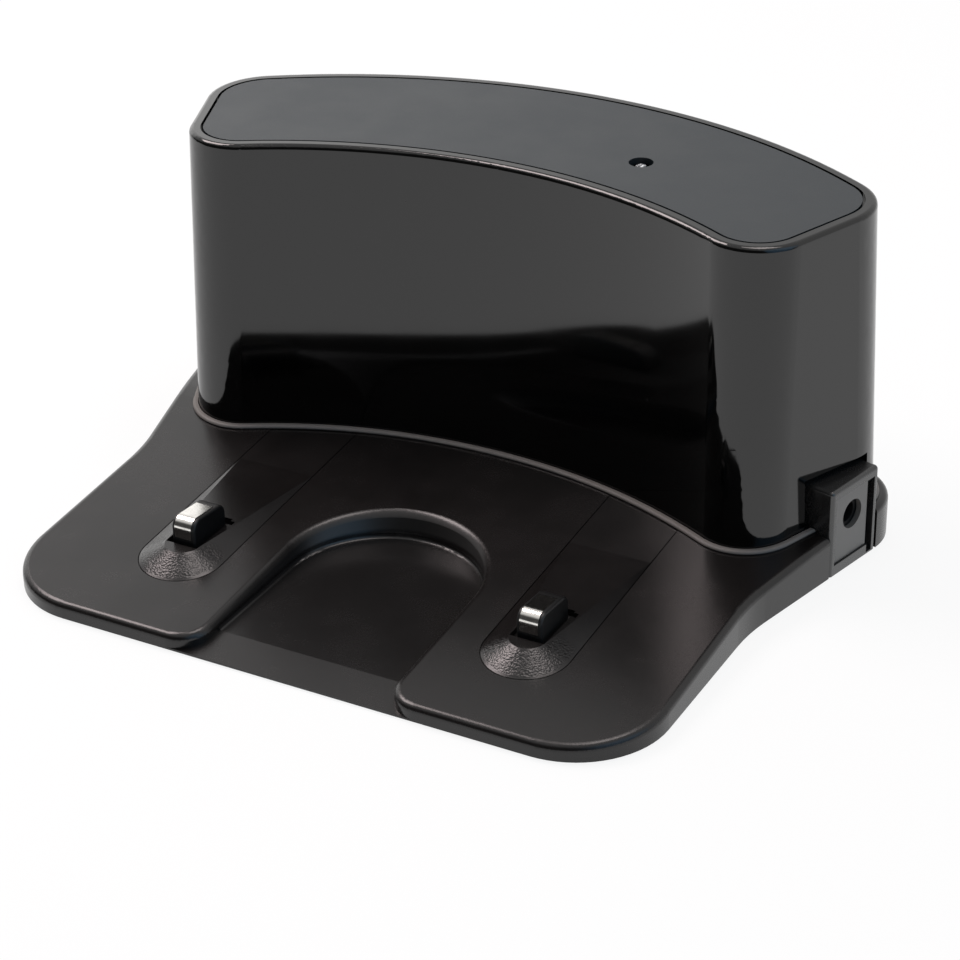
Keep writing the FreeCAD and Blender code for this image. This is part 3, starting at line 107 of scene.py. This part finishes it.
class Tree:
    """A material's nodes, with short ways to add and join them."""

    def __init__(self, name):
        self.material = bpy.data.materials.new(name)
        self.material.use_nodes = True
        self.tree = self.material.node_tree
        self.shader = self.tree.nodes["Principled BSDF"]
        self.point = self.add("ShaderNodeTexCoord").outputs["Object"]

    def add(self, kind, **settings):
        node = self.tree.nodes.new(kind)
        for key, value in settings.items():
            setattr(node, key, value)
        return node

    def join(self, out, socket):
        self.tree.links.new(out, socket)

    def feed(self, socket, value):
        """Join an output, or set a plain number or colour."""
        if isinstance(value, bpy.types.NodeSocket):
            self.join(value, socket)
        else:
            socket.default_value = value

    def math(self, operation, a, b=0.0, clamp=False):
        node = self.add("ShaderNodeMath", operation=operation, use_clamp=clamp)
        self.feed(node.inputs[0], a)
        self.feed(node.inputs[1], b)
        return node.outputs[0]

    def noise(self, size, detail=2.0, roughness=0.5):
        """Noise whose blobs are about one size across, in metres."""
        node = self.add("ShaderNodeTexNoise")
        node.inputs["Scale"].default_value = 1.0 / size
        node.inputs["Detail"].default_value = detail
        node.inputs["Roughness"].default_value = roughness
        self.join(self.point, node.inputs["Vector"])
        return node.outputs["Fac"]

    def grained(self, grain=GRAIN):
        """The two noises of moulded plastic: slow clouds and the fine etched grain."""
        return self.noise(CLOUD, 3.0), self.noise(grain, 2.0, 0.6)

    def cells(self, size):
        """Distance to the nearest of scattered points, about one size apart."""
        node = self.add("ShaderNodeTexVoronoi")
        node.inputs["Scale"].default_value = 1.0 / size
        self.join(self.point, node.inputs["Vector"])
        return node.outputs["Distance"]

    def stretched(self, lengths):
        """Noise whose blobs have a length along each axis, in metres."""
        stretch = self.add("ShaderNodeMapping")
        stretch.inputs["Scale"].default_value = tuple(1.0 / length for length in lengths)
        self.join(self.point, stretch.inputs["Vector"])
        node = self.add("ShaderNodeTexNoise")
        node.inputs["Scale"].default_value = 1.0
        self.join(stretch.outputs["Vector"], node.inputs["Vector"])
        return node.outputs["Fac"]

    def spread(self, value, low, high, start=0.35, end=0.65):
        """Map a value from one range onto another, by default from the middle of a noise."""
        node = self.add("ShaderNodeMapRange")
        self.feed(node.inputs["Value"], value)
        node.inputs["From Min"].default_value = start
        node.inputs["From Max"].default_value = end
        node.inputs["To Min"].default_value = low
        node.inputs["To Max"].default_value = high
        return node.outputs["Result"]

    def between(self, factor, a, b):
        """A colour between two colours."""
        node = self.add("ShaderNodeMix", data_type="RGBA")
        self.feed(node.inputs["Factor"], factor)
        self.feed(node.inputs["A"], (*a, 1.0) if isinstance(a, tuple) else a)
        self.feed(node.inputs["B"], (*b, 1.0) if isinstance(b, tuple) else b)
        return node.outputs["Result"]

    def bump(self, height, depth, strength=1.0, under=None):
        """Relief of a given depth in metres."""
        node = self.add("ShaderNodeBump")
        node.inputs["Distance"].default_value = depth
        self.feed(node.inputs["Strength"], strength)
        self.join(height, node.inputs["Height"])
        if under is not None:
            self.join(under, node.inputs["Normal"])
        return node.outputs["Normal"]

    def line(self, value, slope, start):
        """A straight line: start + slope * value."""
        node = self.add("ShaderNodeMath", operation="MULTIPLY_ADD")
        self.feed(node.inputs[0], value)
        node.inputs[1].default_value = slope
        node.inputs[2].default_value = start
        return node.outputs[0]

    def vector(self, operation, a, b=None):
        node = self.add("ShaderNodeVectorMath", operation=operation)
        self.feed(node.inputs[0], a)
        if b is not None:
            self.feed(node.inputs[1], b)
        return node.outputs["Value" if operation == "DOT_PRODUCT" else "Vector"]

    def combine(self, x, y, z):
        node = self.add("ShaderNodeCombineXYZ")
        for socket, value in zip(node.inputs, (x, y, z)):
            self.feed(socket, value)
        return node.outputs["Vector"]

    def turned(self, factor, a, b):
        """A normal between two normals."""
        node = self.add("ShaderNodeMix", data_type="VECTOR")
        self.feed(node.inputs["Factor"], factor)
        sockets = [socket for socket in node.inputs if socket.type == "VECTOR" and socket.name in "AB"]
        self.join(a, sockets[0])
        self.join(b, sockets[1])
        out = [socket for socket in node.outputs if socket.type == "VECTOR"][0]
        return self.vector("NORMALIZE", out)

    def face(self):
        """The surface's own normal."""
        return self.add("ShaderNodeNewGeometry").outputs["Normal"]

    def axes(self):
        node = self.add("ShaderNodeSeparateXYZ")
        self.join(self.point, node.inputs["Vector"])
        return node.outputs["X"], node.outputs["Y"], node.outputs["Z"]

    def set(self, **values):
        """Set the shader's sockets by name, with _ for a space."""
        for key, value in values.items():
            socket = self.shader.inputs[key.replace("_", " ")]
            if isinstance(value, tuple) and len(value) == 3 and socket.type == "RGBA":
                value = (*value, 1.0)
            self.feed(socket, value)
        return self.material


def moulded(name, dark, light, rough, grain=GRAIN, relief=ETCH, ior=PLASTIC_IOR):
    """Moulded plastic with a fine etched grain and a little unevenness in colour and sheen."""
    t = Tree(name)
    cloud, fine = t.grained(grain)
    color = t.between(t.spread(cloud, 0.0, 1.0), dark, light)
    sheen = t.math("ADD", t.spread(cloud, rough[0], rough[1]), t.spread(fine, -0.02, 0.02))
    return t.set(Base_Color=color, Roughness=sheen, IOR=ior, Normal=t.bump(fine, relief))


def base_top(t, y):
    """Height of the base's sloped top at a depth y."""
    return t.line(y, BASE_SLOPE, BASE_FRONT_HEIGHT + BASE_SLOPE * HALF_DEPTH)


def base_plastic():
    """Satin black, with a painted highlight on the bead round the tower and painted light on the recess's
    floor.

    The shading normals of the recess's walls are turned up to the light.
    """
    t = Tree("base_satin_black")
    x, y, z = t.axes()
    cloud, fine = t.grained()
    color = t.between(t.spread(cloud, 0.0, 1.0), BASE_DARK, BASE_LIGHT)
    slope = base_top(t, y)
    over = t.math("SUBTRACT", z, t.math("MINIMUM", slope, BASE_LEVEL))
    # Painted highlight: the raised bead round the tower is painted pale, as if lit.
    bead_highlight = t.spread(over, 0.0, 1.0, 0.0003, 0.0006)
    color = t.between(bead_highlight, color, BEAD_PAINTED_HIGHLIGHT)
    sheen = t.math("ADD", t.spread(cloud, *BASE_SHEEN), t.spread(fine, -0.02, 0.02))
    sheen = t.math("ADD", sheen, t.math("MULTIPLY", bead_highlight, 0.3))
    own = t.face()
    upright = t.spread(t.vector("DOT_PRODUCT", own, (0.0, 0.0, 1.0)), 1.0, 0.0, 0.3, 0.9)
    within = t.spread(t.math("ABSOLUTE", x), 1.0, 0.0, RECESS_HALF + 0.001, RECESS_HALF + 0.002)
    ahead = t.spread(y, 1.0, 0.0, RECESS_BACK + 0.001, RECESS_BACK + 0.002)
    high = t.spread(z, 0.0, 0.65, RECESS_FLOOR + 0.0008, RECESS_FLOOR + 0.003)
    wall = t.math("MULTIPLY", t.math("MULTIPLY", upright, within), t.math("MULTIPLY", ahead, high))
    raised = t.vector("NORMALIZE", t.vector("ADD", own, t.combine(0.0, 0.0, wall)))
    # Painted light: the recess's floor is painted paler than the rest of the base.
    low = t.spread(z, 1.0, 0.0, RECESS_FLOOR + 0.0004, RECESS_FLOOR + 0.001)
    color = t.between(t.math("MULTIPLY", low, t.math("MULTIPLY", within, ahead)), color, FLOOR_PAINTED_LIGHT)
    sheen = t.math("ADD", sheen, t.math("MULTIPLY", wall, 0.15))
    etched = t.bump(fine, ETCH, 1.0, raised)
    return t.set(Base_Color=color, Roughness=sheen, IOR=PLASTIC_IOR, Normal=etched)


def cover_plastic():
    """The base's plastic, with a coarse spark-eroded grain on the raised nose's bevel."""
    t = Tree("cover_satin_black")
    _, y, z = t.axes()
    slope = base_top(t, y)
    above = t.spread(t.math("SUBTRACT", z, slope), 0.0, 1.0, 0.0002, 0.0005)
    under = t.spread(z, 1.0, 0.0, NOSE_LEVEL - 0.0004, NOSE_LEVEL - 0.0001)
    ahead = t.spread(y, 1.0, 0.0, CONTACT_Y - 0.006, CONTACT_Y - 0.002)
    bevel = t.math("MULTIPLY", t.math("MULTIPLY", above, under), ahead)
    cloud, fine = t.grained()
    pits = t.noise(0.0005, 1.0, 0.4)
    color = t.between(t.spread(cloud, 0.0, 1.0), BASE_DARK, BASE_LIGHT)
    sheen = t.math("ADD", t.spread(cloud, *BASE_SHEEN), t.math("MULTIPLY", bevel, -0.08))
    etched = t.bump(fine, ETCH)
    rough_bevel = t.bump(pits, 0.00014, bevel, etched)
    return t.set(Base_Color=color, Roughness=sheen, IOR=PLASTIC_IOR, Normal=rough_bevel)


def polished_black():
    """Polished plastic: a mirror finish with a faint waviness and a few specks of dust.

    The hollow front's shading normal follows from the point on it, so that reflections in it are smooth,
    and it is turned a little further by the WARP values.
    """
    t = Tree("tower_polished_black")
    x, y, z = t.axes()
    (z0, y0, r0), (z1, y1, r1) = FRONT_FOOT, FRONT_TOP
    bend = (r1 - r0) / (z1 - z0)
    lean = (y1 - y0) / (z1 - z0) - bend
    radius = t.line(z, bend, r0 - bend * z0)
    behind = t.math("SUBTRACT", y, t.line(z, lean, y0 - r0 - lean * z0))
    rise = t.math("ADD", t.math("MULTIPLY", radius, bend), t.math("MULTIPLY", behind, lean))
    aside = t.math("MINIMUM", t.math("ABSOLUTE", t.math("ADD", x, -WARP_LINE)), WARP_REACH)
    warp = t.line(t.math("MULTIPLY", aside, aside), WARP_BEND, WARP_START)
    rise = t.math("ADD", rise, t.math("MULTIPLY", radius, warp))
    true = t.combine(t.math("MULTIPLY", x, -1.0), t.math("MULTIPLY", behind, -1.0), rise)
    true = t.vector("NORMALIZE", true)
    own = t.face()
    front = t.spread(t.vector("DOT_PRODUCT", own, true), 0.0, 1.0, 0.9965, 0.9985)
    ahead = t.spread(t.vector("DOT_PRODUCT", own, (0.0, -1.0, 0.0)), 0.0, 1.0, 0.3, 0.85)
    tip = t.combine(0.0, 0.0, t.math("MULTIPLY", warp, ahead))
    corner = t.vector("NORMALIZE", t.vector("ADD", own, tip))
    smooth = t.turned(front, corner, true)
    wave = t.noise(0.012, 1.0)
    specks = t.cells(0.011)
    dust = t.spread(specks, 1.0, 0.0, 0.012, 0.03)
    cloud = t.noise(0.03, 4.0, 0.6)
    color = t.between(dust, (0.0009, 0.0009, 0.0009), (0.02, 0.02, 0.02))
    sheen = t.math("ADD", t.spread(cloud, 0.05, 0.07), t.math("MULTIPLY", dust, 0.3))
    wavy = t.bump(wave, 0.0000012, 1.0, smooth)
    return t.set(Base_Color=color, Roughness=sheen, IOR=1.58, Normal=wavy)


def top_plastic():
    dark, light = (0.0065, 0.0115, 0.0155), (0.009, 0.0145, 0.019)
    return moulded("top_grained_grey", dark, light, (0.41, 0.47), 0.0004, 0.000016)


def socket_plastic(name, dark, light):
    return moulded(name, dark, light, (0.4, 0.5), 0.0004, 0.000018)


def rubber(name, dark, light):
    return moulded(name, dark, light, (0.7, 0.85), 0.0006, 0.00003)


def metal(name, color, rough, grain=(0.0002, 0.0002, 0.004), depth=0.000003):
    """Plated or drawn metal with fine draw lines."""
    t = Tree(name)
    drawn = t.stretched(grain)
    tarnish = t.noise(0.004, 3.0)
    dull = tuple(0.86 * channel for channel in color)
    return t.set(
        Base_Color=t.between(t.spread(tarnish, 0.0, 1.0), dull, color), Metallic=1.0,
        Roughness=t.spread(drawn, rough[0], rough[1]), Normal=t.bump(drawn, depth),
    )


def circuit_board():
    """Green solder mask with paler traces."""
    t = Tree("board_solder_mask")
    traces = t.add("ShaderNodeTexBrick")
    traces.inputs["Scale"].default_value = 180.0
    traces.inputs["Mortar Size"].default_value = 0.08
    t.join(t.point, traces.inputs["Vector"])
    cloud = t.noise(0.004, 2.0)
    mask = t.between(traces.outputs["Fac"], (0.01, 0.1, 0.035), (0.02, 0.17, 0.06))
    relief = t.bump(traces.outputs["Fac"], 0.00003)
    return t.set(Base_Color=mask, Roughness=t.spread(cloud, 0.3, 0.42), Normal=relief)


def lamp_lens():
    """A clear lamp: pale and dark streaks from top to bottom, partly its wires and cup showing through and
    partly painted glints of light in the lens.
    """
    t = Tree("lamp_lens")
    streak_and_glint = t.spread(t.stretched((0.000625, 0.004, 0.004)), 0.0, 1.0, 0.42, 0.58)
    # Painted highlight: the pale streaks stand partly for glints in the clear lens.
    color = t.between(streak_and_glint, (0.08, 0.086, 0.092), (0.8, 0.83, 0.85))
    return t.set(Base_Color=color, Roughness=t.spread(streak_and_glint, 0.1, 0.2, 0.0, 1.0), IOR=1.5)


def clear_lens(name, color, see_through):
    t = Tree(name)
    cloud = t.noise(0.001, 2.0)
    tint = tuple(0.8 * channel for channel in color)
    return t.set(
        Base_Color=t.between(t.spread(cloud, 0.0, 1.0), tint, color), Roughness=t.spread(cloud, 0.12, 0.22),
        Transmission_Weight=see_through, IOR=1.5,
    )


MATERIALS = {
    base_plastic(): ["base_shell"],
    cover_plastic(): ["contact_cover_left", "contact_cover_right"],
    polished_black(): ["tower_cover"],
    top_plastic(): ["top_plate"],
    socket_plastic("plate_black", (0.012, 0.012, 0.012), (0.018, 0.018, 0.018)): [
        "base_plate", "ir_holder",
    ],
    moulded("jack_frame_black", (0.014, 0.0135, 0.013), (0.02, 0.0195, 0.019), (0.24, 0.3), ior=1.75): [
        "jack_housing",
    ],
    moulded("jack_panel_grey", (0.114, 0.107, 0.098), (0.134, 0.126, 0.116), (0.32, 0.4)): ["jack_plate"],
    socket_plastic("socket_black", (0.0025, 0.0025, 0.0025), (0.004, 0.004, 0.004)): ["dc_jack"],
    socket_plastic("carrier_black", (0.0015, 0.0016, 0.0018), (0.0028, 0.003, 0.0033)): [
        "contact_block_left", "contact_block_right",
    ],
    rubber("foot_rubber", (0.02, 0.02, 0.02), (0.035, 0.035, 0.035)): ["rubber_feet"],
    rubber("lead_black", (0.012, 0.012, 0.012), (0.02, 0.02, 0.02)): ["contact_lead_left", "jack_lead"],
    rubber("lead_red", (0.3, 0.015, 0.012), (0.4, 0.02, 0.016)): ["contact_lead_right", "led_lead"],
    metal("contact_nickel", (0.85, 0.83, 0.79), (0.12, 0.2)): [
        "contact_strip_left", "contact_strip_right",
    ],
    metal("spring_steel", (0.62, 0.62, 0.62), (0.25, 0.4)): [
        "contact_spring_left", "contact_spring_right",
    ],
    metal("screw_steel", (0.56, 0.56, 0.57), (0.28, 0.42)): [
        "base_screws", "tower_screws", "led_screws", "board_screws",
    ],
    metal("terminal_brass", (0.75, 0.58, 0.27), (0.25, 0.38)): [
        "spring_terminal_left", "spring_terminal_right",
    ],
    metal("pin_nickel", (0.82, 0.78, 0.7), (0.15, 0.25)): ["dc_jack_pin"],
    circuit_board(): ["main_board", "led_board"],
    lamp_lens(): ["led"],
    clear_lens("emitter_lens", (0.05, 0.03, 0.08), 0.3): ["ir_emitters"],
}
for material, names in MATERIALS.items():
    for name in names:
        slots = nodes[name].data.materials
        slots.clear()
        slots.append(material)


# Springs, each copied with its own mesh and fixed to the dock

for side in ("left", "right"):
    name = f"contact_spring_{side}"
    coil = bpy.data.objects.new(f"spring_coil_{side}", nodes[name].data.copy())
    coil.matrix_world = nodes[name].matrix_world.copy()
    scene.collection.objects.link(coil)
    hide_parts(name)
    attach(coil, "dock")
    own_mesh(coil)


# Floor, backdrop and light

def stage_floor():
    """A wide pale floor: white to the camera and in reflections, with the dock's own soft shadow."""
    far = FLOOR_REACH
    mesh = bpy.data.meshes.new("floor")
    corners = [(-far, -far, 0), (far, -far, 0), (far, far, 0), (-far, far, 0)]
    mesh.from_pydata(corners, [], [(0, 1, 2, 3)])
    floor = bpy.data.objects.new("floor", mesh)
    scene.collection.objects.link(floor)
    t = Tree("floor_white")
    t.tree.nodes.remove(t.shader)
    diffuse = t.add("ShaderNodeBsdfDiffuse")
    diffuse.inputs["Color"].default_value = (0.9, 0.9, 0.9, 1.0)
    white = t.add("ShaderNodeEmission")
    white.inputs["Strength"].default_value = 1.0
    rays = t.add("ShaderNodeLightPath")
    seen = t.math("ADD", rays.outputs["Is Camera Ray"], rays.outputs["Is Glossy Ray"], clamp=True)
    seen = t.math("ADD", seen, rays.outputs["Is Transmission Ray"], clamp=True)
    share = t.math("MULTIPLY", seen, FLOOR_SHARE)
    mix = t.add("ShaderNodeMixShader")
    t.join(share, mix.inputs["Fac"])
    t.join(diffuse.outputs[0], mix.inputs[1])
    t.join(white.outputs[0], mix.inputs[2])
    t.join(mix.outputs[0], t.tree.nodes["Material Output"].inputs["Surface"])
    mesh.materials.append(t.material)


def sky():
    """A studio that is white behind and above, brightest behind on the left, and dim in front.

    A bluish window is at the right.
    """
    world = bpy.data.worlds.new("studio")
    scene.world = world
    world.use_nodes = True
    tree = world.node_tree

    def add(kind, **settings):
        node = tree.nodes.new(kind)
        for key, value in settings.items():
            setattr(node, key, value)
        return node

    def facing(direction, start, end, low, high):
        """Rises from low to high as a ray turns towards a direction."""
        dot = add("ShaderNodeVectorMath", operation="DOT_PRODUCT")
        tree.links.new(way, dot.inputs[0])
        dot.inputs[1].default_value = direction
        ramp = add("ShaderNodeMapRange", interpolation_type="SMOOTHSTEP")
        tree.links.new(dot.outputs["Value"], ramp.inputs["Value"])
        for name, number in zip(("From Min", "From Max", "To Min", "To Max"), (start, end, low, high)):
            ramp.inputs[name].default_value = number
        return ramp.outputs["Result"]

    def combined(operation, a, b):
        node = add("ShaderNodeMath", operation=operation)
        tree.links.new(a, node.inputs[0])
        tree.links.new(b, node.inputs[1])
        return node.outputs[0]

    way = add("ShaderNodeTexCoord").outputs["Generated"]
    level = facing(WHITE_SIDE, -0.05, 0.55, 0.05, 0.6)
    level = combined("ADD", level, facing(BRIGHT_SIDE, 0.84, 0.98, 0.0, 1.2))
    level = combined("ADD", level, facing(WINDOW, 0.8, 0.97, 0.0, 0.6))
    tint = add("ShaderNodeMix", data_type="RGBA")
    tint.inputs["A"].default_value = (1.0, 0.99, 0.98, 1.0)
    tint.inputs["B"].default_value = WINDOW_BLUE
    tree.links.new(facing(WINDOW, 0.75, 0.92, 0.0, 1.0), tint.inputs["Factor"])
    light = tree.nodes["Background"]
    tree.links.new(tint.outputs["Result"], light.inputs["Color"])
    tree.links.new(level, light.inputs["Strength"])
    white = add("ShaderNodeBackground")
    white.inputs["Color"].default_value = (1.0, 1.0, 1.0, 1.0)
    rays = add("ShaderNodeLightPath").outputs
    mirrored = combined("ADD", rays["Is Glossy Ray"], rays["Is Transmission Ray"])
    mirrored = combined("MULTIPLY", mirrored, facing(WHITE_SIDE, -0.05, 0.55, 0.0, 0.3))
    seen = add("ShaderNodeMixShader")
    tree.links.new(combined("ADD", rays["Is Camera Ray"], mirrored), seen.inputs["Fac"])
    tree.links.new(light.outputs[0], seen.inputs[1])
    tree.links.new(white.outputs[0], seen.inputs[2])
    tree.links.new(seen.outputs[0], tree.nodes["World Output"].inputs["Surface"])


def softbox(name, spot, aim, size, power, color):
    """A square or oblong lamp that faces a point."""
    data = bpy.data.lights.new(name, "AREA")
    data.shape = "RECTANGLE"
    data.size, data.size_y = size
    data.energy = power
    data.color = color
    lamp = bpy.data.objects.new(name, data)
    lamp.location = spot
    lamp.rotation_euler = (Vector(aim) - Vector(spot)).to_track_quat("-Z", "Y").to_euler()
    scene.collection.objects.link(lamp)


def camera():
    """Seen from the right and from above, as in the photograph."""
    turn, rise, roll = (math.radians(angle) for angle in CAMERA_ANGLES)
    back = Vector((math.sin(turn) * math.cos(rise), -math.cos(turn) * math.cos(rise), math.sin(rise)))
    right = Vector((math.cos(turn), math.sin(turn), 0))
    up = back.cross(right)
    right, up = (
        math.cos(roll) * right + math.sin(roll) * up,
        -math.sin(roll) * right + math.cos(roll) * up,
    )
    data = bpy.data.cameras.new("camera")
    data.sensor_width = SENSOR_WIDTH
    data.lens = SENSOR_WIDTH * CAMERA_FOCUS / IMAGE_WIDTH
    data.clip_start = 0.05
    data.clip_end = 50.0
    eye = bpy.data.objects.new("camera", data)
    turned = Matrix((right, up, back)).transposed().to_4x4()
    eye.matrix_world = Matrix.Translation(Vector(CAMERA_TARGET) + back * CAMERA_DISTANCE) @ turned
    scene.collection.objects.link(eye)
    scene.camera = eye


stage_floor()
sky()
softbox("overhead_warm", (0.08, 0.16, 1.07), (0, 0, 0.03), (0.46, 0.46), 3.0, (1.0, 0.9, 0.88))
softbox("left_warm", (-0.62, 0.06, 0.9), (0, 0, 0.03), (0.5, 0.5), 6.5, (1.0, 0.87, 0.86))
camera()
